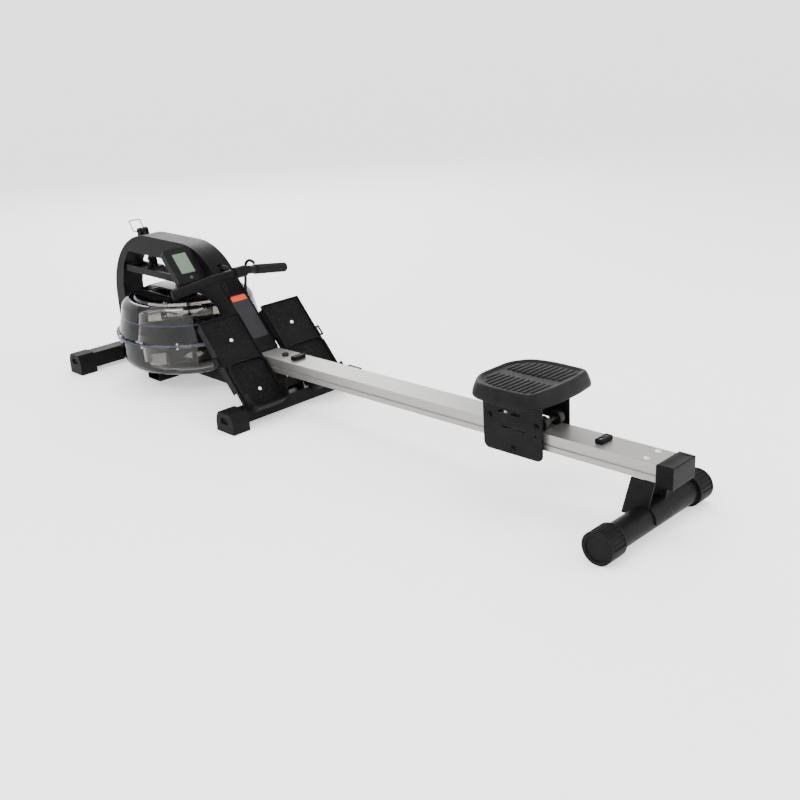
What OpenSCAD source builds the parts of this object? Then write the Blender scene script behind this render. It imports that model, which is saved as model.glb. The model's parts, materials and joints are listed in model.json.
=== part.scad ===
// Water resistance rower: one aluminium rail, a sliding seat, and a water tank under an arched frame.
// Stations along the machine are measured from the axis of the rear foot, negative towards the tank.

/* [Overall] */
// Distance from the origin, midway along the machine, to the rear foot
rear_foot_x = 1005; // [1004.9:0.1:1005.1]
// Slope of the rail, higher at the rear, in degrees
rail_slope = 1.08; // [0.9:0.02:1.2]

/* [Rail] */
// Width of the rail
rail_w = 80; // [78:0.5:81]
// Height of the rail
rail_h = 42; // [40:0.5:43]
// Wall thickness of the rail
rail_wall = 3; // [2.5:0.1:3.5]
// Height of the rail's top above the floor, over the rear foot
rail_top_z = 180.7; // [180:0.1:182]
// Station of the rail's front end, inside the column
rail_front_x = -1385; // [-1388:1:-1380]

/* [Seat] */
// Station of the seat's centre when it is at rest
seat_x = -343; // [-350:1:-335]
// Width of the seat
seat_w = 236; // [228:1:244]
// Length of the seat's rim
seat_l = 212; // [206:1:214]
// Distance between the middles of the two side plates
plate_gap = 104; // [103:0.5:106]
// Radius of the rollers on top of the rail
roller_r = 17; // [16:0.5:18]

/* [Tank] */
// Station of the tank's centre
tank_x = -1715; // [-1716:1:-1714]
// Radius of the tank's wall at its joint
tank_r = 227; // [226:1:228]
// Height of the joint between the tank's halves
tank_joint_z = 166; // [164:1:168]
// Wall thickness of the tank
tank_wall = 4; // [3.5:0.1:4.5]
// Number of bolts round the tank's joint
tank_bolts_n = 12; // [8:1:16]
// Number of impeller blades
blades_n = 6; // [4:1:8]

/* [Arch] */
// Width of the arch
arch_w = 76; // [75.6:0.1:76]
// Height of the arch's top
arch_top_z = 447; // [446.5:0.1:447]
// Wall thickness of the covers
cover_wall = 3; // [2.5:0.1:3]

/* [Footrests] */
// Slope of the footplates, in degrees from level
foot_slope = 48.5; // [48.3:0.1:48.7]
// Length of each footplate
foot_len = 284; // [280:1:285]
// Width of each footplate
foot_w = 142; // [140:1:144]

/* [Handle] */
// Half of the handle's length across the machine
handle_half = 205; // [200:1:208]
// Diameter of the foam grips
grip_d = 30; // [29:0.5:31]
// Diameter of the cord
cord_d = 5; // [4.6:0.1:5]

/* [Hidden] */
side_n = 96;
slope_tan = tan(rail_slope);
function rail_z(x) = rail_top_z + x * slope_tan;
function rail_under(x) = rail_z(x) - rail_h / cos(rail_slope) - 0.05;
plate_t = 4;
foot_pad_r = 38.8;
rear_tube_r = 31;
rear_tube_z = foot_pad_r;
foot_half = 254;
front_foot_x = -2043;
front_tube_w = 50;
middle_tube_x = -1222;
middle_tube_w = 40;
middle_cap_x = -1215.5;
foot_tube_z0 = 12;
beam_half = 38;
beam_z0 = 24;
beam_z1 = 59.9;
beam_front = front_foot_x + front_tube_w / 2;
beam_rear = middle_tube_x - middle_tube_w / 2;
arch_half = arch_w / 2;
cover_gap = 0.3;
tank_bottom_z = 60;
tank_top_z = 284;
hub_z = 288;
beam_low_z = 312;
beam_top_z = 334;
post_half = 32;
cord_r = cord_d / 2;
idler_x = -1896;
idler_z = 356;
idler_turn = 18;
drum_turn = 26.8;
cord_z = hub_z + 6;
exit_x = -1540;
exit_z = 368;
face_angle = 48.32;
face_top = [-1448, 308];

module from_foot() translate([rear_foot_x, 0, 0]) children();
module on_rail(x) translate([x, 0, rail_z(x)]) rotate([0, -rail_slope, 0]) children();
module both_sides() { children(); mirror([0, 1, 0]) children(); }
module across(r, y0, y1, n = side_n)
    translate([0, y0, 0]) rotate([-90, 0, 0]) cylinder(r = r, h = y1 - y0, $fn = n);
module side_plate(y0, t) translate([0, y0 + t, 0]) rotate([90, 0, 0]) linear_extrude(t) children();
module round_rect(l, w, r) {
    square([l - 2 * r, w], center = true);
    square([l, w - 2 * r], center = true);
    for (sx = [-1, 1], sy = [-1, 1]) translate([sx * (l / 2 - r), sy * (w / 2 - r)]) circle(r, $fn = 32);
}
// Points along an arc in the XZ plane, from angle a0 to a1
function arc(cx, cz, r, a0, a1, n) =
    [for (i = [0 : n]) let (a = a0 + (a1 - a0) * i / n) [cx + r * cos(a), cz + r * sin(a)]];
module torus(big, small, turn = 360)
    rotate_extrude(angle = turn, $fn = 72) translate([big, 0]) circle(small, $fn = 24);

// ---------------------------------------------------------------- rail
module rail_profile(inset) {
    half = rail_w / 2 - inset;
    groove = inset == 0 ? 3 : 2.5;
    polygon([
        [-half, -inset], [half, -inset], [half, -22.5], [half - groove, -24.5], [half - groove, -26.5],
        [half, -28.5], [half, -rail_h + inset], [-half, -rail_h + inset], [-half, -28.5],
        [-half + groove, -26.5], [-half + groove, -24.5], [-half, -22.5]
    ]);
}
module rail() color("gainsboro") on_rail(0)
    translate([rail_front_x, 0, 0]) rotate([90, 0, 90]) linear_extrude(40 - rail_front_x)
        difference() {
            rail_profile(0);
            rail_profile(rail_wall);
        }
module rail_end_cap() color("#3a3a3d") difference() {
    translate([56, 0, 159.5]) rotate([90, 0, 0]) linear_extrude(88, center = true) round_rect(42, 51, 3);
    on_rail(0) translate([20, -rail_w / 2 - 0.4, -rail_h - 0.4]) cube([20.4, rail_w + 0.8, rail_h + 0.8]);
    translate([35 - 86, 0, rail_top_z + 1.6]) cylinder(r = 98, h = 10, $fn = side_n);
    translate([61, 0, 184 + 110]) across(110, -36, 36);
}
module rail_end_bolts() color("silver") both_sides() on_rail(-2) translate([0, 23, 0]) intersection() {
    translate([0, 0, -5]) sphere(r = 9, $fn = 48);
    translate([0, 0, 0.02]) cylinder(r = 8, h = 5, $fn = 48);
}
stop_at = [-125, -1178];
stop_l = 20;
stop_w = 40;
stop_screw_y = 11;
module stop_block() difference() {
    translate([0, 0, 6]) rotate([90, 0, 0]) linear_extrude(stop_w, center = true) round_rect(stop_l, 12, 3);
    for (y = [-stop_screw_y, stop_screw_y]) translate([0, y, 6]) cylinder(r = 5, h = 10, $fn = 32);
}
module rail_stops() color("#303033") for (x = stop_at) on_rail(x) stop_block();
module stop_screws() color("silver") for (x = stop_at, y = [-stop_screw_y, stop_screw_y])
    on_rail(x) translate([0, y, 6.2]) difference() {
        cylinder(r = 4.5, h = 4, $fn = 32);
        translate([0, 0, 2]) cylinder(r = 2.2, h = 4, $fn = 6);
    }
module rail_bumper() color("#303033") on_rail(-1237) translate([0, 0, 0.02]) {
    cylinder(r = 10, h = 6, $fn = 48);
    translate([0, 0, 6]) cylinder(r1 = 10, r2 = 7.5, h = 2.5, $fn = 48);
}

// ---------------------------------------------------------------- rear foot
module rear_foot_tube() color("#4b4b4e") translate([0, 0, rear_tube_z]) difference() {
    across(rear_tube_r, -197, 197);
    across(rear_tube_r - 2.5, -200, 200);
}
module rear_foot_bracket() color("#46464a") {
    plate = [[-30, 133.4], [29, 134.6], [14, 62], [6, 62], [6, 42], [-52, 42]];
    both_sides() side_plate(32, plate_t) difference() {
        polygon(plate);
        translate([0, rear_tube_z]) circle(rear_tube_r + 0.02, $fn = side_n);
    }
    translate([0, 0, rear_tube_z]) difference() {
        across(rear_tube_r + 4, -31.9, 31.9);
        across(rear_tube_r + 0.02, -40, 40);
        translate([-60, -40, -60]) cube([120, 80, 56]);
    }
}
module ribbed_cap() {
    difference() {
        union() {
            across(foot_pad_r - 2, 150, 203.5);
            across(foot_pad_r, 150, 155);
            across(foot_pad_r, 199, 203.5);
            intersection() {
                across(foot_pad_r, 150, 203.5);
                translate([-50, 140, -50]) cube([100, 80, 50]);
            }
            for (a = [0 : 15 : 180]) rotate([0, -a, 0])
                translate([foot_pad_r - 3.5, 151, -2.2]) cube([3.2, 50, 4.4]);
        }
        across(rear_tube_r + 0.02, 149, 197.02);
        across(foot_pad_r - 9, 201, 205);
    }
}
module rear_foot_caps() color("#57575b") translate([0, 0, rear_tube_z]) both_sides() ribbed_cap();

// ---------------------------------------------------------------- seat carriage
module on_seat() on_rail(seat_x) children();
plate_top = 66;
plate_low = -68;
module plate_outline() {
    translate([0, (plate_top + plate_low) / 2]) difference() {
        round_rect(174, plate_top - plate_low, 16);
        translate([0, plate_top]) square([200, 1], center = true);
    }
    translate([-87, 20]) square([174, plate_top - 20]);
}
axle_at = [[-69, roller_r + 0.05], [69, roller_r + 0.05]];
guide_r = 12;
guide_z = -rail_h - guide_r - 0.05;
module carriage_plate(s) color("#626266") on_seat()
    side_plate(s * plate_gap / 2 - plate_t / 2, plate_t) difference() {
        plate_outline();
        for (p = axle_at) translate(p) circle(4.1, $fn = 32);
        translate([0, guide_z]) circle(4.1, $fn = 32);
        translate([69, -8]) circle(2.6, $fn = 32);
        translate([6, -2]) round_rect(72, 7, 3.4);
        for (x = [-26, 12]) translate([x, 34]) round_rect(28, 8, 3.9);
    }
module carriage_plate_left() carriage_plate(-1);
module carriage_plate_right() carriage_plate(1);
inner = plate_gap / 2 - plate_t / 2;
module carriage_deck() color("#3b3b3e") on_seat() difference() {
    translate([-84, -inner, plate_top - 4]) cube([168, 2 * inner, 4]);
    for (x = [-50, 50], y = [-32, 32]) translate([x, y, 50]) cylinder(r = 3.3, h = 30, $fn = 32);
}
module carriage_axles() color("silver") on_seat() {
    for (p = axle_at) translate([p[0], 0, p[1]]) across(4, -inner - plate_t, inner + plate_t);
    both_sides() translate([0, 0, guide_z]) across(4, 24, inner + plate_t);
}
module carriage_screws() color("silver") on_seat() both_sides()
    for (p = [axle_at[0], axle_at[1], [0, guide_z]]) translate([p[0], 0, p[1]]) difference() {
        union() {
            across(6.5, inner + plate_t + 0.02, inner + plate_t + 3.5);
            across(8.2, inner + plate_t + 0.02, inner + plate_t + 1);
        }
        across(2.4, inner + plate_t + 1.5, inner + plate_t + 6, 6);
    }
module roller_pair(x) color("#2d2d30") on_seat() translate([x, 0, roller_r + 0.05]) {
    both_sides() difference() {
        union() {
            across(roller_r, 19, 35);
            across(9, 16, 38);
        }
        across(4.05, 10, 40);
        for (y = [18.9, 33.6]) difference() {
            across(14, y, y + 1.5);
            across(9.5, y - 1, y + 3);
        }
    }
    difference() {
        across(6, -16, 16);
        across(4.05, -20, 20);
    }
}
module roller_front() roller_pair(-69);
module roller_rear() roller_pair(69);
module guide_roller(s) color("#2d2d30") on_seat() translate([0, 0, guide_z])
    mirror([0, s < 0 ? 1 : 0, 0]) difference() {
    across(guide_r, 26, 42);
    across(4.05, 20, 50);
    across(9, 40.6, 43);
}
module guide_roller_left() guide_roller(-1);
module guide_roller_right() guide_roller(1);
module seat_outline(grow) {
    half = seat_w / 2;
    back = seat_l / 2;
    offset(r = grow, $fn = 32) offset(r = 28, $fn = 48) offset(delta = -28)
        polygon([
            [-back, -half + 60], [-back + 34, -half + 12], [-12, -half], [back - 12, -half + 4],
            [back, -half + 80], [back, half - 80], [back - 12, half - 4], [-12, half],
            [-back + 34, half - 12], [-back, half - 60]
        ]);
}
seat_shift = 8;
pan_inset = 24;
pan_h = 17;
module seat_pan() color("#2f2f32") on_seat() difference() {
    translate([seat_shift, 0, plate_top + 0.05]) linear_extrude(pan_h) seat_outline(-pan_inset);
    for (x = [-50, 50], y = [-32, 32]) translate([x, y, plate_top - 5]) cylinder(r = 3.3, h = 11, $fn = 32);
}
module seat_cushion() color("#4e4e50") on_seat() difference() {
    translate([seat_shift, 0, plate_top]) hull() {
        translate([0, 0, 14]) linear_extrude(2) seat_outline(10);
        translate([0, 0, 30]) linear_extrude(2) seat_outline(6);
        translate([0, 0, 49]) linear_extrude(1) seat_outline(-4);
    }
    translate([seat_shift, 0, plate_top]) linear_extrude(pan_h + 0.2) seat_outline(0.4 - pan_inset);
}

// ---------------------------------------------------------------- base frame
module foot_bar(x, w) translate([x - w / 2, 0, foot_tube_z0]) difference() {
    translate([0, 10 - foot_half, 0]) cube([w, 2 * foot_half - 20, w]);
    translate([2.5, -foot_half, 2.5]) cube([w - 5, 2 * foot_half, w - 5]);
}
module foot_cap_pair(x, w, h, tube_x, tube_w) both_sides() difference() {
    translate([x, foot_half, 0]) rotate([90, 0, 0]) linear_extrude(58) polygon([
        [-w / 2, 0], [w / 2, 0], [w / 2, h - 28], [w / 2 - 4, h - 14], [w / 2 - 12, h],
        [-w / 2 + 12, h], [-w / 2 + 4, h - 14], [-w / 2, h - 28]
    ]);
    translate([tube_x - tube_w / 2 - 0.1, 180, foot_tube_z0 - 0.1])
        cube([tube_w + 0.2, foot_half - 189.98, tube_w + 0.2]);
    translate([x - 16, foot_half - 6, h - 32]) cube([32, 10, 18]);
}
module front_foot_tube() color("#38383b") foot_bar(front_foot_x, front_tube_w);
module middle_foot_tube() color("#38383b") foot_bar(middle_tube_x, middle_tube_w);
module front_foot_caps() color("#58585c") foot_cap_pair(front_foot_x, 72, 66, front_foot_x, front_tube_w);
module middle_foot_caps() color("#58585c") foot_cap_pair(middle_cap_x, 78, 58, middle_tube_x, middle_tube_w);
module base_beam() color("#303033") difference() {
    translate([beam_front + 0.02, -beam_half, beam_z0])
        cube([beam_rear - beam_front - 0.04, 2 * beam_half, beam_z1 - beam_z0]);
    translate([beam_front - 1, -beam_half + 3, beam_z0 + 3])
        cube([beam_rear - beam_front + 2, 2 * beam_half - 6, beam_z1 - beam_z0 - 6]);
    translate([tank_x - 33.02, -beam_half - 1, beam_z0 - 1]) cube([66.04, 2 * beam_half + 2, 40]);
}
module tank_support_bar() color("#2b2b2e") translate([tank_x - 33, -160, beam_z0]) difference() {
    cube([66, 320, beam_z1 - beam_z0]);
    translate([3, -1, 3]) cube([60, 322, beam_z1 - beam_z0 - 6]);
}
module rail_bracket() color("#333336") {
    tube_top = foot_tube_z0 + middle_tube_w + 0.02;
    both_sides() side_plate(30, plate_t) polygon([
        [-1238, tube_top], [-1203, tube_top], [-1208, 88], [-1198, rail_under(-1198)],
        [-1262, rail_under(-1262)], [-1250, 84]
    ]);
    translate([-1229, -30.02, 66]) cube([8, 60.04, 30]);
}
module column_post() color("#2b2b2e") {
    side_plate(-post_half, 2 * post_half) polygon([
        [-1460, beam_z1 + 0.02], [-1412, beam_z1 + 0.02], [-1412, 112], [-1434, 196], [-1500, 300],
        [-1500, beam_top_z], [-1514, beam_top_z], [-1514, 316], [-1470, 226], [-1460, 180]
    ]);
    side_plate(-34, 68) polygon([
        [-1416, 68], [-1318, 68], [-1318, rail_under(-1318)], [-1416, rail_under(-1416)]
    ]);
}
module front_post() color("#2b2b2e") side_plate(-post_half, 2 * post_half) polygon([
    [-2062, 62.02], [-2042, 62.02], [-2042, 296], [-2012, beam_top_z], [-2030, beam_top_z],
    [-2058, 306], [-2062, 110]
]);
module cross_beam() color("#2b2b2e") both_sides() side_plate(24, 8) polygon([
    [-2028.9, beam_low_z], [-1514.1, beam_low_z], [-1514.1, beam_top_z], [-2011.5, beam_top_z]
]);

// ---------------------------------------------------------------- arch covers
// Side view of the arch: front leg, rounded nose, level top, and a column that slopes down to the rail.
nose_front = -2087;
nose_r = 230;
nose_x = nose_front + nose_r;
nose_z = arch_top_z - nose_r;
shoulder_r = 207.7;
shoulder_x = -1665;
shoulder_end = 41.7;
module arch_outer() polygon(concat(
    [[nose_front, 70]],
    arc(nose_x, nose_z, nose_r, 180, 90, 60),
    arc(shoulder_x, arch_top_z - shoulder_r, shoulder_r, 90, shoulder_end, 30),
    [face_top, [-1318, 162], [-1318, 66], [-1470, 66], [-1470, 100], [-2030, 100], [-2030, 70]]
));
// Space round the tank and the cross beam, up to the arch's inner edge.
module arch_opening() polygon([
    [-2036, -10], [-2036, 262], [-2012, beam_top_z + 4], [-1975, 384], [-1768, 384],
    [-1726, beam_top_z + 4], [-1706, beam_low_z - 6], [-1620, beam_low_z - 8], [-1560, 296],
    [-1500, 268], [-1486, 230], [-1474, 190], [-1474, -10]
]);
module arch_profile() difference() {
    arch_outer();
    arch_opening();
}
module arch_inside() difference() {
    offset(delta = -cover_wall) arch_outer();
    offset(delta = cover_wall) arch_opening();
}
module cover_half(s) {
    y0 = s < 0 ? -arch_half : cover_gap / 2;
    post_cut = post_half + 0.5;
    difference() {
        side_plate(y0, arch_half - cover_gap / 2) arch_profile();
        side_plate(s < 0 ? -arch_half + cover_wall : -1, arch_half - cover_wall + 1) arch_inside();
        // ways through for the rail, its seat, the two posts, the cross beam and the cord
        on_rail(0) translate([rail_front_x - 2, -rail_w / 2 - 0.5, -rail_h - 0.5])
            cube([300, rail_w + 1, rail_h + 1]);
        translate([-1500, -post_cut, 40]) cube([95, 2 * post_cut, 40]);
        translate([-1420, -34.5, 60]) cube([110, 69, 56]);
        translate([front_foot_x - 30, -post_cut, 55]) cube([60, 2 * post_cut, 30]);
        translate([-2036, -post_cut, beam_low_z - 0.5]) cube([40, 2 * post_cut, 23]);
        translate([-1732, -post_cut, beam_low_z - 0.5]) cube([50, 2 * post_cut, 23]);
        translate([-1780, -6, 368]) cube([60, 12, 18]);
        translate([-1530, -8, 372]) cube([40, 16, 18]);
    }
}
module cover_left() color("#4a4a4d") cover_half(-1);
module cover_right() color("#4a4a4d") cover_half(1);

// ---------------------------------------------------------------- tank
flange_r = tank_r + 8;
flange_t = 5;
gasket_t = 1.5;
bearing_r = 14;
low_r = 50;
shaft_r = 5;
module at_tank() translate([tank_x, 0, 0]) children();
module bolt_ring(r, z0, z1) for (i = [0 : tank_bolts_n - 1]) rotate([0, 0, (i + 0.5) * 360 / tank_bolts_n])
    translate([tank_r + 4, 0, z0]) cylinder(r = r, h = z1 - z0, $fn = 24);
module lower_section(t) {
    r = tank_r - 2 - t;
    rim_z = tank_joint_z + (t > 0 ? 1 : 0);
    polygon(concat(
        [[0, tank_bottom_z + t]],
        arc(r - low_r, tank_bottom_z + low_r + t, low_r, -90, -6, 10),
        [[r, rim_z], [0, rim_z]]
    ));
}
module tank_lower() color("#9fa6ad80") at_tank() difference() {
    rotate_extrude($fn = side_n) difference() {
        union() {
            lower_section(0);
            translate([0, tank_joint_z - flange_t]) square([flange_r, flange_t]);
        }
        lower_section(tank_wall);
        translate([-1, tank_bottom_z - 1]) square([9.02, tank_wall + 3]);
    }
    bolt_ring(2.3, tank_joint_z - 10, tank_joint_z + 10);
}
module upper_section(t) {
    base_z = tank_joint_z + gasket_t - (t > 0 ? 1 : 0);
    polygon(concat(
        [[0, base_z], [tank_r - t, base_z]],
        arc(175.8 - t, 242 - t, 34, 6, 86, 9),
        [[167 - t, 276.3 - t], [163 - t, tank_top_z - t], [0, tank_top_z - t]]
    ));
}
module at_plug() rotate([0, 0, 110]) translate([140, 0, 0]) children();
module tank_upper() color("#9fa6ad80") at_tank() difference() {
    rotate_extrude($fn = side_n) difference() {
        union() {
            upper_section(0);
            translate([0, tank_joint_z + gasket_t]) square([flange_r, flange_t]);
        }
        upper_section(tank_wall);
        translate([-1, tank_top_z - tank_wall - 1]) square([bearing_r + 1.02, tank_wall + 3]);
    }
    at_plug() translate([0, 0, 250]) cylinder(r = 14.02, h = 60, $fn = 48);
    bolt_ring(2.3, tank_joint_z, tank_joint_z + 10);
}
module tank_gasket() color("#3c4a86") at_tank() difference() {
    translate([0, 0, tank_joint_z + 0.02]) cylinder(r = flange_r - 0.5, h = gasket_t - 0.04, $fn = side_n);
    translate([0, 0, tank_joint_z - 1]) cylinder(r = tank_r - 7, h = 4, $fn = side_n);
    bolt_ring(2.3, tank_joint_z - 1, tank_joint_z + 4);
}
module tank_bolts() color("silver") at_tank() {
    top_z = tank_joint_z + gasket_t + flange_t + 0.02;
    low_z = tank_joint_z - flange_t - 0.02;
    bolt_ring(2.2, low_z - 1, top_z + 1);
    bolt_ring(3.6, top_z, top_z + 2.6);
    bolt_ring(3.6, low_z - 3.6, low_z);
}
module fill_plug() color("#26262a") at_tank() at_plug() {
    translate([0, 0, 276]) cylinder(r = 11, h = 4, $fn = 48);
    translate([0, 0, 279.9]) cylinder(r = 13.98, h = 4.3, $fn = 48);
    translate([0, 0, tank_top_z + 0.05]) cylinder(r = 18, h = 5, $fn = 48);
}
module lower_bearing() color("#333338") at_tank() difference() {
    translate([0, 0, beam_z1 + 0.04]) cylinder(r = 7.98, h = 14, $fn = 48);
    translate([0, 0, beam_z1 + 5]) cylinder(r = shaft_r + 0.05, h = 20, $fn = 48);
}
module upper_bearing() color("#333338") at_tank() difference() {
    union() {
        translate([0, 0, tank_top_z - tank_wall - 2])
            cylinder(r = bearing_r - 0.02, h = tank_wall + 3, $fn = 48);
        translate([0, 0, tank_top_z + 0.02]) cylinder(r = 44, h = 3, $fn = 64);
    }
    translate([0, 0, 270]) cylinder(r = shaft_r + 0.05, h = 40, $fn = 48);
}
module impeller() color("#5b6066") at_tank() {
    translate([0, 0, beam_z1 + 6]) cylinder(r = shaft_r, h = 302 - beam_z1 - 6, $fn = 48);
    translate([0, 0, 80]) cylinder(r = 24, h = 120, $fn = 48);
    for (i = [0 : blades_n - 1]) rotate([0, 0, i * 360 / blades_n])
        translate([20, -2, 84]) cube([150, 4, 108]);
}
module drum() color("#2a2a2d") at_tank() translate([0, 0, hub_z]) rotate_extrude($fn = 64) polygon([
    [shaft_r + 0.02, 0], [34, 0], [34, 2], [24, 2], [24, 10], [34, 10], [34, 12], [shaft_r + 0.02, 12]
]);

// ---------------------------------------------------------------- cord and pulleys
module rod(a, b, r, n = 24) {
    d = b - a;
    translate(a) rotate([0, acos(d[2] / norm(d)), atan2(d[1], d[0])]) cylinder(r = r, h = norm(d), $fn = n);
}
module pulley(groove, rim, half, bore) rotate([90, 0, 0]) rotate_extrude($fn = 64) polygon([
    [bore, -half], [rim, -half], [rim, 1.2 - half], [groove, -2.9], [groove, 2.9], [rim, half - 1.2],
    [rim, half], [bore, half]
]);
module idler_pulley() color("#1f1f22") translate([idler_x, 0, idler_z]) pulley(15.2, 18, 7, 4.05);
module exit_roller() color("#1f1f22") translate([exit_x, 0, exit_z]) pulley(9, 11.4, 6, 3.05);
module pulley_axles() color("silver") {
    translate([exit_x, 0, exit_z]) across(3, -34.95, 34.95);
    translate([idler_x, 0, idler_z]) across(4, -17, 17);
}
module idler_fork() color("#2b2b2e") difference() {
    union() {
        translate([idler_x - 16, -32, beam_top_z + 0.02]) cube([32, 64, 3]);
        both_sides() side_plate(9, 4) polygon([
            [idler_x - 12, beam_top_z + 2], [idler_x + 12, beam_top_z + 2],
            [idler_x + 8, 364], [idler_x - 8, 364]
        ]);
    }
    translate([idler_x, 0, idler_z]) across(4.02, -20, 20);
    // way down for the cord
    translate([idler_x - 9, -4.5, beam_top_z - 1]) cube([40, 12, 6]);
}
cord_end_x = -1508;
module drive_cord() color("#151517") {
    wrap_a = atan2(cord_z - idler_z, 134) - acos(idler_turn / norm([134, cord_z - idler_z])) + 360;
    leave = [idler_x + idler_turn * cos(wrap_a), 0, idler_z + idler_turn * sin(wrap_a)];
    down = [idler_x + 134, drum_turn, cord_z];
    rod([idler_x, 0, idler_z + idler_turn], [cord_end_x - 0.3, 0, 380.9], cord_r);
    translate([idler_x, 0, idler_z]) rotate([90, 0, 0]) rotate([0, 0, 90])
        torus(idler_turn, cord_r - 0.04, wrap_a - 90);
    rod(leave, down, cord_r);
    translate(down) sphere(r = cord_r + 0.03, $fn = 24);
    rod(down, [tank_x, drum_turn, cord_z], cord_r);
    translate([tank_x, 0, cord_z]) torus(drum_turn, cord_r - 0.04);
}
module pull_cord() color("#151517") rod([cord_end_x, 0, 380.9], [-1443.3, 0, 381.9], cord_r);

// ---------------------------------------------------------------- console
console_at = [-1578, -arch_half - 48.02, 401];
module at_console() translate(console_at) rotate([0, 49, 0]) children();
module console_case() color("#3d3d41") at_console() difference() {
    translate([0, 0, -22]) linear_extrude(22) round_rect(120, 96, 9);
    translate([-6, 0, -2.5]) linear_extrude(5) square([78, 57], center = true);
    translate([46, 0, -8]) cylinder(r = 5.2, h = 12, $fn = 32);
}
module console_screen() color("#b9c4b4") at_console() translate([-6, 0, -2.48]) linear_extrude(1.9)
    square([77.8, 56.8], center = true);
module mode_button() color("#333336") at_console()
    translate([46, 0, -6]) cylinder(r = 5.12, h = 7.5, $fn = 32);

// ---------------------------------------------------------------- wire rest on the nose
pivot = [-1931, 450];
wire_r = 1.5;
module wire_pivots() color("#1f1f22") both_sides() difference() {
    union() {
        translate([pivot[0], 0, pivot[1]]) across(11, 4, 16);
        translate([pivot[0] - 8, 4, 428]) cube([20, 12, 18]);
    }
    translate([pivot[0], 0, pivot[1]]) across(wire_r + 0.1, 2, 18);
    translate([nose_x, 0, nose_z]) across(nose_r + 0.1, 2, 60);
}
module wire_rest() color("#2a2a2d") {
    elbow_at = [-1956, 448.6];
    tip_at = [-1974, 480];
    both_sides() {
        rod([pivot[0], 6, pivot[1]], [pivot[0], 20, pivot[1]], wire_r);
        translate([pivot[0], 20, pivot[1]]) sphere(r = wire_r + 0.02, $fn = 24);
        rod([pivot[0], 20, pivot[1]], [elbow_at[0], 20, elbow_at[1]], wire_r);
        translate([elbow_at[0], 20, elbow_at[1]]) sphere(r = wire_r + 0.02, $fn = 24);
        rod([elbow_at[0], 20, elbow_at[1]], [tip_at[0], 20, tip_at[1]], wire_r);
    }
    rod([tip_at[0], -21, tip_at[1]], [tip_at[0], 21, tip_at[1]], wire_r + 0.02);
}

// ---------------------------------------------------------------- footrests
foot_in = 43.5;
foot_mid = foot_in + foot_w / 2;
ridge = 3;
module on_foot() translate([-1393, 0, 270]) rotate([0, foot_slope, 0]) children();
module footplate() color("#4d4d50") on_foot() difference() {
    union() {
        translate([0, foot_in, -4]) cube([foot_len, foot_w, 4]);
        for (y = [foot_in, foot_in + foot_w - ridge]) {
            translate([0, y, -1]) cube([foot_len, ridge, 7]);
            translate([8, y, -20]) cube([225, ridge, 17]);
        }
        translate([0, foot_in, -1]) cube([ridge, foot_w, 7]);
        translate([10, arch_half + 0.02, -26]) cube([100, 7.5, 23]);
        translate([112, foot_in + foot_w - 1, -3]) cube([34, 19, 3]);
    }
    translate([118, foot_in + foot_w + 7, -5]) cube([22, 6, 8]);
}
module heel_ring() difference() {
    round_rect(158, 134, 24);
    round_rect(150, 126, 20);
}
module heel_plate() color("#59595d") on_foot() translate([229, foot_mid, 0.4]) {
    linear_extrude(4) round_rect(158, 134, 24);
    translate([0, 0, 3.9]) linear_extrude(11.1) heel_ring();
    translate([0, 0, 14.9]) linear_extrude(19) intersection() {
        heel_ring();
        translate([28, -70]) square([60, 140]);
    }
}
module footplate_left() mirror([0, 1, 0]) footplate();
module footplate_right() footplate();
module heel_plate_left() mirror([0, 1, 0]) heel_plate();
module heel_plate_right() heel_plate();

// ---------------------------------------------------------------- handle
bar_at = [-1424, 0, 382];
bar_end = [-1470, handle_half, 349];
bar_r = 12.5;
bend_y = 35;
bend = [bar_at[0], bend_y, bar_at[2]];
function along(f) = bend + (bar_end - bend) * f;
module bent_rod(r, f) {
    translate([bar_at[0], 0, bar_at[2]]) across(r, -bend_y, bend_y, 48);
    both_sides() {
        translate(bend) sphere(r = r + 0.02, $fn = 48);
        rod(bend, along(f), r, 48);
    }
}
module handle_bar() color("#3a3a3d") bent_rod(bar_r, 1);
module handle_grips() color("#47474a") both_sides() difference() {
    rod(along(0.16), along(1.025), grip_d / 2, 48);
    rod(along(0.1), along(1.0005), bar_r + 0.02, 48);
}
module handle_clamp() color("#202023") difference() {
    union() {
        translate(bar_at) across(17, -22, 22);
        rod([-1443, 0, 381.9], [-1430, 0, 382], 7, 32);
    }
    translate(bar_at) across(bar_r + 0.02, -24, 24, 48);
}
module handle_rest() color("#3c3c40") both_sides() {
    hook_r = 28;
    hook_rod = 4.4;
    hook = [-1427.5, 48, 379.5];
    top = hook - [hook_r, 0, 0];
    foot = [face_top[0] + 2.85, 32, face_top[1] + 2.55];
    rod(foot, top, hook_rod, 32);
    translate(top) sphere(r = hook_rod + 0.02, $fn = 32);
    translate(hook) rotate([90, 0, 0]) rotate([0, 0, 50]) torus(hook_r, hook_rod, 130);
    translate([face_top[0], 32, face_top[1]]) rotate([0, face_angle, 0])
        translate([0, 0, 0.05]) cylinder(r = 7.5, h = 3, $fn = 32);
}

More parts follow.
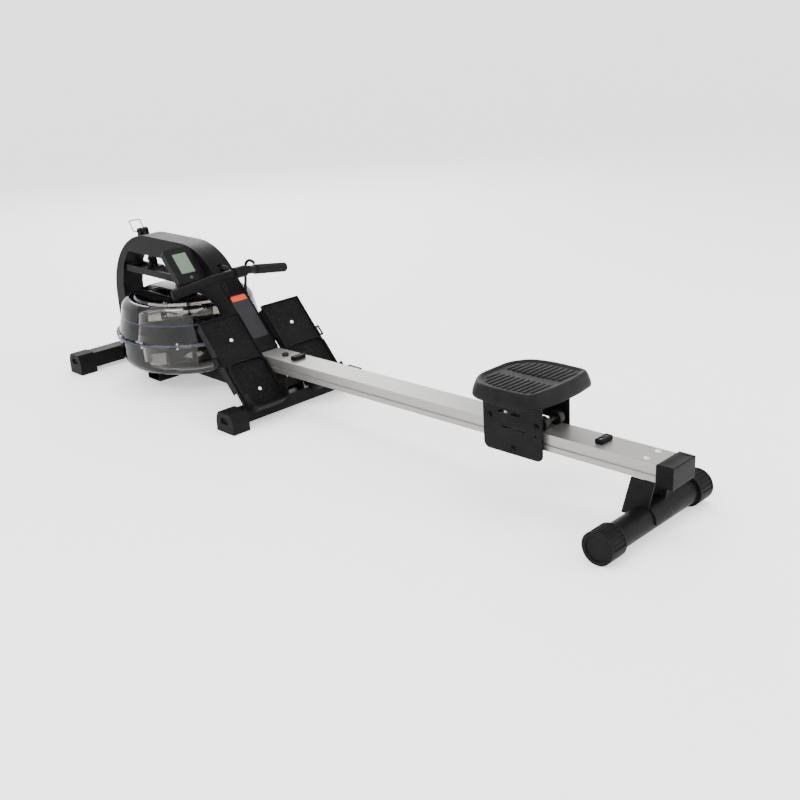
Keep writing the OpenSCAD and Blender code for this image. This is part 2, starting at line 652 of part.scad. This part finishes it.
from_foot() rail();
from_foot() rail_end_cap();
from_foot() rail_end_bolts();
from_foot() rail_stops();
from_foot() stop_screws();
from_foot() rail_bumper();
from_foot() rear_foot_tube();
from_foot() rear_foot_bracket();
from_foot() rear_foot_caps();
from_foot() carriage_plate_left();
from_foot() carriage_plate_right();
from_foot() carriage_deck();
from_foot() carriage_axles();
from_foot() carriage_screws();
from_foot() roller_front();
from_foot() roller_rear();
from_foot() guide_roller_left();
from_foot() guide_roller_right();
from_foot() seat_pan();
from_foot() seat_cushion();
from_foot() base_beam();
from_foot() front_foot_tube();
from_foot() front_foot_caps();
from_foot() middle_foot_tube();
from_foot() middle_foot_caps();
from_foot() tank_support_bar();
from_foot() rail_bracket();
from_foot() column_post();
from_foot() front_post();
from_foot() cross_beam();
from_foot() cover_left();
from_foot() cover_right();
from_foot() tank_lower();
from_foot() tank_upper();
from_foot() tank_gasket();
from_foot() tank_bolts();
from_foot() fill_plug();
from_foot() lower_bearing();
from_foot() upper_bearing();
from_foot() impeller();
from_foot() drum();
from_foot() idler_pulley();
from_foot() idler_fork();
from_foot() pulley_axles();
from_foot() exit_roller();
from_foot() drive_cord();
from_foot() pull_cord();
from_foot() console_case();
from_foot() console_screen();
from_foot() mode_button();
from_foot() wire_rest();
from_foot() wire_pivots();
from_foot() footplate_left();
from_foot() footplate_right();
from_foot() heel_plate_left();
from_foot() heel_plate_right();
from_foot() handle_bar();
from_foot() handle_grips();
from_foot() handle_clamp();
from_foot() handle_rest();
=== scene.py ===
import json
import math
import bmesh
import bpy
from mathutils import Matrix, Vector


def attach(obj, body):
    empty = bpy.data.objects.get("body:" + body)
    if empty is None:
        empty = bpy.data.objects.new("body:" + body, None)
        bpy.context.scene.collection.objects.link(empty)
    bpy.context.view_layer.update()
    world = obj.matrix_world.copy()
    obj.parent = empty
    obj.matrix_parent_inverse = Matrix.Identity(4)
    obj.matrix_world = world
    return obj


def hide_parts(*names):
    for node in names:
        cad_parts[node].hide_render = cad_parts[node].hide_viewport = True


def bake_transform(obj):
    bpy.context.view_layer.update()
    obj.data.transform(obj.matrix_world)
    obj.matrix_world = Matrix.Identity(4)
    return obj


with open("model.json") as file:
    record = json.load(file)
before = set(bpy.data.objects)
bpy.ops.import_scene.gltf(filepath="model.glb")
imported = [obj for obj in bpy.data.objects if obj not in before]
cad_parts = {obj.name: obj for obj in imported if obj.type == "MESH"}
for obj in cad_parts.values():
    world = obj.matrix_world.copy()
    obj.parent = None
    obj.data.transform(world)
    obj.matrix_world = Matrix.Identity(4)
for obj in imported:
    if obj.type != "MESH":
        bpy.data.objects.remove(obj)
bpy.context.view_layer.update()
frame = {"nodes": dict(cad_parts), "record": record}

FOOT_X = 1005.0  # mm from the rear foot's axis to the origin
C, S = math.cos, math.sin


def st(x, y, z):
    """A point given from the rear foot in mm, in the row frame in metres."""
    return Vector(((x + FOOT_X) / 1000, y / 1000, z / 1000))


# ------------------------------------------------------------------ materials
def node_mat(name, color, rough, metal=0.0, vary=0.25, grain=60.0, stretch=(1, 1, 1), bump=0.15,
             bump_scale=400.0, bump_dist=0.0004, bevel=0.0008, rough_vary=0.08, spec=0.5, wear=0.0):
    """Fine relief, patchy colour and roughness, and lighter worn patches where wear is over 0."""
    m = bpy.data.materials.new(name)
    m.use_nodes = True
    nt = m.node_tree
    nt.nodes.clear()
    N, L = nt.nodes.new, nt.links.new
    out = N("ShaderNodeOutputMaterial")
    b = N("ShaderNodeBsdfPrincipled")
    L(b.outputs[0], out.inputs[0])
    b.inputs["Metallic"].default_value = metal
    b.inputs["Specular IOR Level"].default_value = spec
    tc = N("ShaderNodeTexCoord")
    mp = N("ShaderNodeMapping")
    mp.inputs["Scale"].default_value = stretch
    L(tc.outputs["Object"], mp.inputs["Vector"])
    big = N("ShaderNodeTexNoise")
    big.inputs["Scale"].default_value = grain
    big.inputs["Detail"].default_value = 6
    big.inputs["Roughness"].default_value = 0.62
    L(mp.outputs[0], big.inputs["Vector"])
    ramp = N("ShaderNodeValToRGB")
    ramp.color_ramp.elements[0].position = 0.25
    ramp.color_ramp.elements[1].position = 0.75
    ramp.color_ramp.elements[0].color = [c * (1 - vary) for c in color] + [1]
    ramp.color_ramp.elements[1].color = [min(1, c * (1 + vary)) for c in color] + [1]
    L(big.outputs["Fac"], ramp.inputs[0])
    col = ramp.outputs[0]
    if wear > 0:
        w = N("ShaderNodeTexNoise")
        w.inputs["Scale"].default_value = 9.0
        w.inputs["Detail"].default_value = 8
        L(tc.outputs["Object"], w.inputs["Vector"])
        wr = N("ShaderNodeMapRange")
        wr.inputs["From Min"].default_value = 0.55
        wr.inputs["From Max"].default_value = 0.8
        wr.inputs["To Max"].default_value = wear
        L(w.outputs["Fac"], wr.inputs["Value"])
        mx = N("ShaderNodeMix")
        mx.data_type = "RGBA"
        mx.inputs["B"].default_value = [min(1, c * 1.6 + 0.008) for c in color] + [1]
        L(wr.outputs[0], mx.inputs["Factor"])
        L(col, mx.inputs["A"])
        col = mx.outputs["Result"]
    L(col, b.inputs["Base Color"])
    rr = N("ShaderNodeMapRange")
    rr.inputs["To Min"].default_value = max(0.02, rough - rough_vary)
    rr.inputs["To Max"].default_value = min(1, rough + rough_vary)
    L(big.outputs["Fac"], rr.inputs["Value"])
    L(rr.outputs[0], b.inputs["Roughness"])
    fine = N("ShaderNodeTexNoise")
    fine.inputs["Scale"].default_value = bump_scale
    fine.inputs["Detail"].default_value = 3
    L(mp.outputs[0], fine.inputs["Vector"])
    bp = N("ShaderNodeBump")
    bp.inputs["Strength"].default_value = bump
    bp.inputs["Distance"].default_value = bump_dist
    L(fine.outputs["Fac"], bp.inputs["Height"])
    if bevel > 0:
        bv = N("ShaderNodeBevel")
        bv.samples = 4
        bv.inputs["Radius"].default_value = bevel
        L(bv.outputs[0], bp.inputs["Normal"])
    L(bp.outputs[0], b.inputs["Normal"])
    return m


def clear_mat(name, tint, gloss_color, ior, base_fac, rough, scale):
    """Thin clear plastic or water: mostly see-through, with mirror-like highlights towards the edges."""
    m = bpy.data.materials.new(name)
    m.use_nodes = True
    nt = m.node_tree
    nt.nodes.clear()
    N, L = nt.nodes.new, nt.links.new
    out = N("ShaderNodeOutputMaterial")
    mix = N("ShaderNodeMixShader")
    tr = N("ShaderNodeBsdfTransparent")
    b = N("ShaderNodeBsdfPrincipled")
    tc = N("ShaderNodeTexCoord")
    no = N("ShaderNodeTexNoise")
    no.inputs["Scale"].default_value = scale
    no.inputs["Detail"].default_value = 4
    L(tc.outputs["Object"], no.inputs["Vector"])
    ramp = N("ShaderNodeValToRGB")
    ramp.color_ramp.elements[0].color = [c * 0.94 for c in tint] + [1]
    ramp.color_ramp.elements[1].color = [min(1, c * 1.04) for c in tint] + [1]
    L(no.outputs["Fac"], ramp.inputs[0])
    L(ramp.outputs[0], tr.inputs["Color"])
    b.inputs["Base Color"].default_value = (*gloss_color, 1)
    b.inputs["Metallic"].default_value = 1
    rr = N("ShaderNodeMapRange")
    rr.inputs["To Min"].default_value = rough * 0.6
    rr.inputs["To Max"].default_value = rough * 1.5
    L(no.outputs["Fac"], rr.inputs["Value"])
    L(rr.outputs[0], b.inputs["Roughness"])
    bp = N("ShaderNodeBump")
    bp.inputs["Strength"].default_value = 0.12
    bp.inputs["Distance"].default_value = 0.002
    L(no.outputs["Fac"], bp.inputs["Height"])
    L(bp.outputs[0], b.inputs["Normal"])
    fr = N("ShaderNodeFresnel")
    fr.inputs["IOR"].default_value = ior
    ad = N("ShaderNodeMath")
    ad.operation = "ADD"
    ad.use_clamp = True
    ad.inputs[1].default_value = base_fac
    L(fr.outputs[0], ad.inputs[0])
    L(ad.outputs[0], mix.inputs[0])
    L(tr.outputs[0], mix.inputs[1])
    L(b.outputs[0], mix.inputs[2])
    L(mix.outputs[0], out.inputs[0])
    return m


MAT = {
    "aluminium": node_mat("aluminium", (0.27, 0.264, 0.256), 0.42, metal=0.8, vary=0.07, grain=90,
                          stretch=(0.12, 6, 6), bump=0.12, bump_scale=260, bevel=0.0006,
                          rough_vary=0.06),
    "black_steel": node_mat("black_steel", (0.0045, 0.0045, 0.005), 0.42, spec=0.05, vary=0.25,
                            grain=30, bump=0.35, bump_scale=900, bevel=0.0015, wear=0.15),
    "grey_steel": node_mat("grey_steel", (0.0055, 0.0055, 0.006), 0.40, spec=0.05, vary=0.25,
                           grain=30, bump=0.35, bump_scale=900, bevel=0.0012, wear=0.2),
    "cover_plastic": node_mat("cover_plastic", (0.0042, 0.0042, 0.0046), 0.42, spec=0.05, vary=0.2,
                              grain=24, bump=0.4, bump_scale=1100, bevel=0.002, wear=0.12),
    "foot_plastic": node_mat("foot_plastic", (0.0055, 0.0055, 0.006), 0.52, spec=0.05, vary=0.25,
                             grain=40, bump=0.5, bump_scale=1000, bevel=0.0015, wear=0.2),
    "black_plastic": node_mat("black_plastic", (0.004, 0.004, 0.0044), 0.4, spec=0.05, vary=0.25,
                              grain=40, bump=0.4, bump_scale=1000, bevel=0.0012),
    "bright_steel": node_mat("bright_steel", (0.56, 0.57, 0.58), 0.32, metal=1, vary=0.1, grain=160,
                             bump=0.1, bevel=0.0004),
    "roller_rubber": node_mat("roller_rubber", (0.006, 0.006, 0.0065), 0.55, spec=0.2, vary=0.25,
                              bump=0.3, bevel=0.0008),
    "seat_foam": node_mat("seat_foam", (0.0065, 0.0065, 0.007), 0.42, spec=0.06, vary=0.25, grain=30,
                          bump=0.55, bump_scale=1300, bevel=0, wear=0.15),
    "tank_clear": clear_mat("tank_clear", (0.70, 0.69, 0.675), (0.62, 0.62, 0.63), 1.35, 0.008, 0.04,
                            7),
    "gasket_blue": node_mat("gasket_blue", (0.035, 0.05, 0.20), 0.35, vary=0.2, bump=0.1, bevel=0),
    "impeller_plastic": node_mat("impeller_plastic", (0.045, 0.047, 0.05), 0.35, vary=0.12,
                                 bump=0.15),
    "cord_black": node_mat("cord_black", (0.005, 0.005, 0.0055), 0.75, spec=0.2, vary=0.5, grain=500,
                           stretch=(0.6, 1, 1), bump=0.9, bump_scale=900, bevel=0),
    "console_plastic": node_mat("console_plastic", (0.0065, 0.0065, 0.0072), 0.36, spec=0.05,
                                vary=0.2, bump=0.3, bump_scale=1100, bevel=0.0018),
    "lcd": node_mat("lcd", (0.085, 0.12, 0.085), 0.2, spec=0.3, vary=0.06, grain=12, bump=0.02,
                    bevel=0.0005),
    "button_grey": node_mat("button_grey", (0.02, 0.02, 0.021), 0.35, vary=0.1, bump=0.1,
                            bevel=0.0008),
    "grip_foam": node_mat("grip_foam", (0.0055, 0.0055, 0.006), 0.72, spec=0.05, vary=0.4, grain=220,
                          bump=0.9, bump_scale=1500, bump_dist=0.0007, bevel=0),
}
for sp in frame["record"]["subparts"]:
    o = frame["nodes"][sp["node"]]
    for i in range(len(o.data.materials)):
        o.data.materials[i] = MAT[sp["material_slot"]]
    if not len(o.data.materials):
        o.data.materials.append(MAT[sp["material_slot"]])

WHITE = node_mat("pin_white", (0.72, 0.72, 0.70), 0.4, vary=0.06, bump=0.1, bevel=0)
ORANGE = node_mat("label_orange", (0.55, 0.05, 0.012), 0.45, spec=0.15, vary=0.08, bump=0.05, bevel=0)
LABEL = node_mat("label_dark", (0.014, 0.014, 0.016), 0.4, spec=0.15, vary=0.12, bump=0.05, bevel=0)
WATER = clear_mat("water", (0.80, 0.795, 0.785), (0.6, 0.61, 0.63), 1.1, 0.002, 0.03, 14)
WATER_RIM = node_mat("water_rim", (0.10, 0.14, 0.40), 0.2, vary=0.3, grain=30, bump=0.1, bevel=0)


# ------------------------------------------------------------------ mesh helpers
def finish_piece(name, bm, mat, body, smooth=35):
    me = bpy.data.meshes.new(name)
    bmesh.ops.remove_doubles(bm, verts=bm.verts, dist=1e-6)
    bmesh.ops.recalc_face_normals(bm, faces=bm.faces)
    bm.to_mesh(me)
    bm.free()
    ob = bpy.data.objects.new(name, me)
    bpy.context.scene.collection.objects.link(ob)
    me.materials.append(mat)
    me.shade_smooth()
    me.set_sharp_from_angle(angle=math.radians(smooth))
    if body:
        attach(ob, body)
    return ob


def skin(bm, rings, closed=True, cap=(False, False)):
    """Joins rings of points, all the same length, into a surface."""
    vs = [[bm.verts.new(p) for p in ring] for ring in rings]
    n = len(vs[0])
    for a, b in zip(vs, vs[1:]):
        for i in range(n if closed else n - 1):
            j = (i + 1) % n
            bm.faces.new((a[i], a[j], b[j], b[i]))
    if cap[0]:
        bm.faces.new(vs[0][::-1])
    if cap[1]:
        bm.faces.new(vs[-1])
    return vs


def lathe_rings(profile, frame_fn, n=64):
    return [[frame_fn(r * C(2 * math.pi * i / n), r * S(2 * math.pi * i / n), h) for i in range(n)]
            for r, h in profile]


def axis_frame(a, b):
    """Maps (u, v, h) to a point h mm along the line from a to b, in mm from the rear foot."""
    a, b = Vector(a), Vector(b)
    d = (b - a).normalized()
    side = d.cross(Vector((0, 0, 1)))
    if side.length < 1e-3:
        side = d.cross(Vector((1, 0, 0)))
    side.normalize()
    up = side.cross(d)
    return lambda u, v, h: st(*(a + d * h + side * u + up * v))


def frustums(bm, items, place):
    """Moulded blocks: (centre x, centre y, base z, length, width, height, draft)."""
    for cx, cy, z, lx, ly, h, d in items:
        rings = []
        for k, zz in ((0, 0), (d * 0.3, h * 0.75), (d, h)):
            rings.append([place(cx + sx * (lx / 2 - k), cy + sy * (ly / 2 - k), z + zz)
                          for sx, sy in ((-1, -1), (1, -1), (1, 1), (-1, 1))])
        skin(bm, rings, cap=(True, True))


SLOPE = math.radians(1.08)  # of the rail
SEAT_X = -343.0
SEAT_Z = 180.7 + SEAT_X * math.tan(SLOPE)


def on_seat(x, y, z):
    return st(SEAT_X + x * C(SLOPE) - z * S(SLOPE), y, SEAT_Z + x * S(SLOPE) + z * C(SLOPE))


FOOT_A = math.radians(48.5)  # slope of the footplates


def on_foot(x, y, z):
    return st(-1393 + x * C(FOOT_A) + z * S(FOOT_A), y, 270 - x * S(FOOT_A) + z * C(FOOT_A))


FACE_A = math.radians(48.32)  # slope of the face that the label is on


def on_face(x, y, z):
    return st(-1448 + x * C(FACE_A) + z * S(FACE_A), y, 308 - x * S(FACE_A) + z * C(FACE_A))


# ------------------------------------------------------------------ seat
def rounded(poly, trim, n=7):
    out = []
    for i, p in enumerate(poly):
        a, b = poly[i - 1], poly[(i + 1) % len(poly)]
        p, a, b = Vector(p), Vector(a), Vector(b)
        ta = min(trim, (a - p).length * 0.48)
        tb = min(trim, (b - p).length * 0.48)
        p0, p2 = p + (a - p).normalized() * ta, p + (b - p).normalized() * tb
        for k in range(n + 1):
            t = k / n
            out.append((1 - t) ** 2 * p0 + 2 * t * (1 - t) * p + t * t * p2)
    return out


SEAT_POLY = [(-98, -58), (-64, -106), (-4, -118), (102, -114), (114, -38),
             (114, 38), (102, 114), (-4, 118), (-64, 106), (-98, 58)]
SEAT_MID = 8  # middle of the outline along the rail
RIB_PITCH, RIB_HALF, RIB_HEIGHT = 14.8, 4.9, 3.6
seat_line = rounded(SEAT_POLY, 26)


def grown(line, g):
    out = []
    for i, p in enumerate(line):
        t = line[(i + 1) % len(line)] - line[i - 1]
        nrm = Vector((t.y, -t.x)).normalized()
        out.append(p + nrm * g)
    return out


def inside(line, x, y):
    hit = False
    for i, a in enumerate(line):
        b = line[i - 1]
        if (a.y > y) != (b.y > y) and x < (b.x - a.x) * (y - a.y) / (b.y - a.y) + a.x:
            hit = not hit
    return hit


def seat_piece():
    bm = bmesh.new()
    # from inside the skirt's hem, up over the rim and into the pressed centre
    levels = [(-5.4, 83.6), (-5.4, 80.9), (2, 80.2), (8, 80.4), (9.8, 81.4), (10, 83), (9.2, 88), (7, 96),
              (3.8, 104), (1.2, 110), (-1.5, 113.8), (-4.5, 115.6), (-8, 115.8), (-11.5, 114.4),
              (-13.5, 112.4), (-15.5, 111.4)]
    rings = [[on_seat(p.x, p.y, z) for p in grown(seat_line, g)] for g, z in levels]
    inner = grown(seat_line, -15.5)
    for k, z in ((0.86, 111.0), (0.6, 110.4), (0.3, 109.9), (0.02, 109.8)):
        rings.append([on_seat(SEAT_MID + (p.x - SEAT_MID) * k, p.y * k, z) for p in inner])
    under = [on_seat(SEAT_MID + (p.x - SEAT_MID) * 0.3, p.y * 0.3, 83.6)
             for p in grown(seat_line, -5.4)]
    rings.insert(0, under)
    skin(bm, rings, cap=(True, True))
    # two groups of ribs with a plain channel between them
    limit = grown(seat_line, -19)
    for k in range(-6, 7):
        x = SEAT_MID + k * RIB_PITCH
        for side in (-1, 1):
            ys = [side * y for y in range(15, 128) if inside(limit, x - 5, side * y) and
                  inside(limit, x + 5, side * y)]
            if len(ys) < 12:
                continue
            y0, y1 = ys[0], ys[-1]
            rings = []
            for f, grow in ((0, 0.05), (0.02, 0.7), (0.05, 1), (0.5, 1), (0.95, 1), (0.98, 0.7), (1, 0.05)):
                y = y0 + (y1 - y0) * f
                prof = []
                for a in range(9):
                    t = math.pi * a / 8
                    sunk = 0.6 if a in (0, 8) else 0
                    prof.append(on_seat(x + RIB_HALF * C(t) * (0.6 + 0.4 * grow), y,
                                        110.2 + RIB_HEIGHT * S(t) ** 0.7 * grow - sunk))
                rings.append(prof)
            skin(bm, rings, cap=(True, True))
    ob = finish_piece("seat_top", bm, MAT["seat_foam"], "seat", 50)
    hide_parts("seat_cushion")


seat_piece()

# ------------------------------------------------------------------ handle grips
BEND, END = Vector((-1424, 35, 382)), Vector((-1470, 205, 349))
GRIP_R = 15


def grips():
    bm = bmesh.new()
    for side in (-1, 1):
        a, b = Vector((BEND.x, side * BEND.y, BEND.z)), Vector((END.x, side * END.y, END.z))
        total = (b - a).length
        h0, h1 = total * 0.16, total + 4.5
        prof = [(12.55, h0 + 1.2), (12.9, h0 + 0.2), (14.0, h0), (14.8, h0 + 1), (GRIP_R, h0 + 3)]
        steps = 22
        for i in range(1, steps):  # slight waves where the foam has been pushed on
            h = h0 + 3 + (h1 - h0 - 8) * i / steps
            prof.append((GRIP_R - 0.12 * (1 + math.sin(i * 2.3 + side)), h))
        prof += [(GRIP_R, h1 - 5), (14.6, h1 - 2), (13.2, h1 - 0.5), (9, h1), (3.2, h1),
                 (2.6, h1 - 1), (0.4, h1 - 1.6)]
        rings = lathe_rings(prof, axis_frame(a, b), 48)
        skin(bm, rings, cap=(False, True))
    ob = finish_piece("grips", bm, MAT["grip_foam"], "handle", 45)
    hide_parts("handle_grips")


grips()


# ------------------------------------------------------------------ pull cord
def pull_cord():
    bm = bmesh.new()
    a, b = Vector((-1512, 0, 380.8)), Vector((-1440, 0, 381.9))
    fr = axis_frame(a, b)
    total = (b - a).length
    rings = []
    steps = 120
    for i in range(steps + 1):  # strands show as a shallow twist along the cord
        h = total * i / steps
        ring = []
        for j in range(24):
            t = 2 * math.pi * j / 24
            r = 2.38 + 0.12 * C(3 * t + h * 0.75)
            ring.append(fr(r * C(t), r * S(t), h))
        rings.append(ring)
    skin(bm, rings, cap=(True, True))
    ob = finish_piece("pull_cord_braid", bm, MAT["cord_black"], None, 60)
    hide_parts("pull_cord")
    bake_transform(ob)


pull_cord()


# ------------------------------------------------------------------ water
RING = 96  # points round a large circle


def water():
    tank_x, r_wall, low_r, bottom, level = -1715.0, 221.0 - 0.6, 46, 64.6, 223.2
    place = lambda u, v, h: st(tank_x + u, v, h)
    prof = [(8.6, bottom)]
    for i in range(12):
        a = math.radians(-90 + 84 * i / 11)
        prof.append((r_wall - low_r + low_r * C(a), bottom + low_r + low_r * S(a)))
    # up the wall, over the surface to the shaft, and down beside it
    prof += [(r_wall + 0.2, 160), (r_wall + 0.4, 168), (r_wall - 3, 190), (r_wall - 6.5, 214),
             (r_wall - 7.6, 224.6)]
    prof += [(r_wall - 9, 223.6), (r_wall - 13, level), (150, level), (90, level), (40, level),
             (5.3, 223.4), (5.3, bottom + 12), (8.6, bottom + 11)]
    bm = bmesh.new()
    vs = skin(bm, lathe_rings(prof, place, RING))
    for i in range(RING):
        j = (i + 1) % RING
        bm.faces.new((vs[-1][i], vs[-1][j], vs[0][j], vs[0][i]))
    finish_piece("water_body", bm, WATER, "root", 30)
    bm = bmesh.new()
    rim = [(r_wall - 8.4, 222.6), (r_wall - 7.5, 222.9), (r_wall - 7.7, 224.9),
           (r_wall - 8.8, 224.2), (r_wall - 8.4, 222.6)]
    skin(bm, lathe_rings(rim, place, RING))
    finish_piece("water_line", bm, WATER_RIM, "root", 30)


water()


# ------------------------------------------------------------------ footrest treads and pins
HEEL_X = 229  # the heel plate's middle, down the slope of the footplate
HEEL_HALF, HEEL_TRAVEL = 79, 60
HEEL_REACH = HEEL_X - HEEL_HALF - HEEL_TRAVEL - 2  # its front edge at the top of its travel, less 2 mm
PLATE_PIN_X, HEEL_PIN_X, PIN_CLEAR = 78, 247, 9
FOOT_MID = 43.5 + 71  # from the rail's middle to a footplate's
TREAD_PITCH = 11.8


def treads():
    for side, word in ((-1, "left"), (1, "right")):
        mid = side * FOOT_MID
        bm = bmesh.new()
        items = []
        for i in range(12):
            for j in range(11):
                x = 12 + i * 11.2
                # the heel plate slides over the blocks beyond this point, 0.4 mm above the footplate
                tall = 1.8 if x + 4.3 < HEEL_REACH else 0.5
                items.append((x, mid + (j - 5) * TREAD_PITCH, -0.2, 8.6, 9.2, tall, tall * 0.39))
        items = [t for t in items if math.hypot(t[0] - PLATE_PIN_X, t[1] - mid) > PIN_CLEAR]
        frustums(bm, items, on_foot)
        finish_piece("tread_plate_" + word, bm, MAT["foot_plastic"], "root", 25)
        bm = bmesh.new()
        items = []
        for i in range(12):
            for j in range(10):
                x, y = HEEL_X - 66 + i * 12, (j - 4.5) * TREAD_PITCH
                if abs(x - HEEL_X) > 50 and abs(y) > 46:
                    continue
                if math.hypot(x - HEEL_PIN_X, y) > PIN_CLEAR:
                    items.append((x, mid + y, 4.3, 9.2, 9.0, 1.8, 0.7))
        for j in range(-3, 4):  # side ribs of the heel cup
            items.append((HEEL_X + 75.4, mid + j * 14, 14, 2.2, 3.0, 17, 0.5))
        frustums(bm, items, on_foot)
        finish_piece("tread_heel_" + word, bm, MAT["foot_plastic"], "heel_" + word, 25)


treads()


# distance down the slope, side, height, body
PINS = [(PLATE_PIN_X, -FOOT_MID, 0.2, "root"), (PLATE_PIN_X, FOOT_MID, 0.2, "root"),
        (HEEL_PIN_X, -FOOT_MID, 4.6, "heel_left"), (HEEL_PIN_X, FOOT_MID, 4.6, "heel_right")]
PIN_PROFILE = [(3.0, -1), (3.0, 3.4), (5.2, 3.5), (5.5, 4.1), (5.2, 5.6), (4.2, 6.4), (0.2, 6.8)]


def pins():
    for i, (x, y, z, body) in enumerate(PINS):
        bm = bmesh.new()
        place = lambda u, v, h: on_foot(x + u, y + v, z + h)
        skin(bm, lathe_rings(PIN_PROFILE, place, 32), cap=(True, True))
        finish_piece("adjuster_pin_%d" % (i + 1), bm, WHITE, body, 40)


pins()


# ------------------------------------------------------------------ plain label plate, console details
def label():
    bm = bmesh.new()
    frustums(bm, [(76, 0, 0.05, 152, 60, 0.7, 0.3)], on_face)
    finish_piece("label_plate", bm, LABEL, "root", 30)
    bm = bmesh.new()
    frustums(bm, [(12, 0, 0.7, 18, 54, 0.35, 0.1)], on_face)
    finish_piece("label_band", bm, ORANGE, "root", 30)


label()


CONSOLE_A = math.radians(49)  # slope of the console's face


def on_console(x, y, z):
    return st(-1578 + x * C(CONSOLE_A) + z * S(CONSOLE_A), -86.02 + y,
              401 - x * S(CONSOLE_A) + z * C(CONSOLE_A))


def console_bezel():
    bm = bmesh.new()
    ring = lambda lx, ly, r, z: [on_console(-6 + p.x, p.y, z) for p in
                                 rounded([(-lx, -ly), (lx, -ly), (lx, ly), (-lx, ly)], r, 5)]
    rings = [ring(35.0, 24.5, 2, -0.5), ring(35.0, 24.5, 2, 0.9), ring(35.8, 25.3, 3, 1.4),
             ring(42.4, 32, 5, 1.2), ring(43.8, 33.4, 6, 0.05)]
    skin(bm, rings)
    finish_piece("console_bezel", bm, MAT["console_plastic"], "root", 40)


console_bezel()


# ------------------------------------------------------------------ floor, light, camera
def floor():
    """A pale floor that curves up into a wall far behind, all round."""
    bm = bmesh.new()
    flat, bend, wall, drop = 7, 3, 7, 0.0005
    prof = [(0.02, 0), (3, 0), (5, 0), (flat, 0)]
    for i in range(1, 13):
        a = math.radians(90 * i / 12)
        prof.append((flat + bend * S(a), bend - bend * C(a)))
    prof.append((flat + bend, wall))
    turns = [2 * math.pi * i / RING for i in range(RING)]
    skin(bm, [[(r * C(t), r * S(t), h - drop) for t in turns] for r, h in prof], cap=(True, False))
    me = bpy.data.meshes.new("floor")
    bmesh.ops.recalc_face_normals(bm, faces=bm.faces)
    bm.to_mesh(me)
    bm.free()
    me.shade_smooth()
    ob = bpy.data.objects.new("floor", me)
    bpy.context.scene.collection.objects.link(ob)
    m = node_mat("floor_pale", (0.92, 0.92, 0.92), 0.75, vary=0.01, grain=3, bump=0.02, bevel=0, spec=0.15)
    p = [n for n in m.node_tree.nodes if n.type == "BSDF_PRINCIPLED"][0]
    p.inputs["Emission Color"].default_value = (1, 1, 1, 1)
    p.inputs["Emission Strength"].default_value = 0.6
    me.materials.append(m)


floor()


def area(name, loc, target, size, power):
    ld = bpy.data.lights.new(name, "AREA")
    ld.shape = "RECTANGLE"
    ld.size, ld.size_y = size
    ld.energy = power
    lo = bpy.data.objects.new(name, ld)
    bpy.context.scene.collection.objects.link(lo)
    lo.location = loc
    lo.rotation_euler = (Vector(target) - Vector(loc)).to_track_quat("-Z", "Y").to_euler()


area("key", (1.2, -3.2, 3.6), (0, 0, 0.2), (3.0, 2.0), 150)
area("top", (-0.2, 0.4, 4.2), (0, 0, 0), (5.0, 3.0), 150)
area("fill", (3.6, 1.8, 2.4), (0, 0, 0.2), (2.5, 2.0), 80)
area("back", (-3.4, 2.2, 2.2), (-0.4, 0, 0.3), (2.5, 1.6), 90)

world = bpy.data.worlds.new("world")
bpy.context.scene.world = world
world.use_nodes = True
backdrop = world.node_tree.nodes["Background"]
backdrop.inputs["Color"].default_value = (1, 1, 1, 1)
backdrop.inputs["Strength"].default_value = 1.1


def camera():
    """The photo's viewpoint, solved from the photo."""
    az, el, roll = math.radians(45.58), math.radians(20.82), math.radians(-2.85)
    back = Vector((S(az) * C(el), -C(az) * C(el), S(el)))
    fwd = -back
    right = fwd.cross(Vector((0, 0, 1))).normalized()
    up = right.cross(fwd)
    r2 = right * C(roll) + up * S(roll)
    u2 = -right * S(roll) + up * C(roll)
    cd = bpy.data.cameras.new("camera")
    cd.sensor_width = 36
    cd.lens = 47.34
    cd.clip_end = 60
    co = bpy.data.objects.new("camera", cd)
    bpy.context.scene.collection.objects.link(co)
    m = Matrix((r2, u2, back)).transposed().to_4x4()
    m.translation = Vector((2.1002, -1.8240, 1.1184))
    co.matrix_world = m
    bpy.context.scene.camera = co


camera()
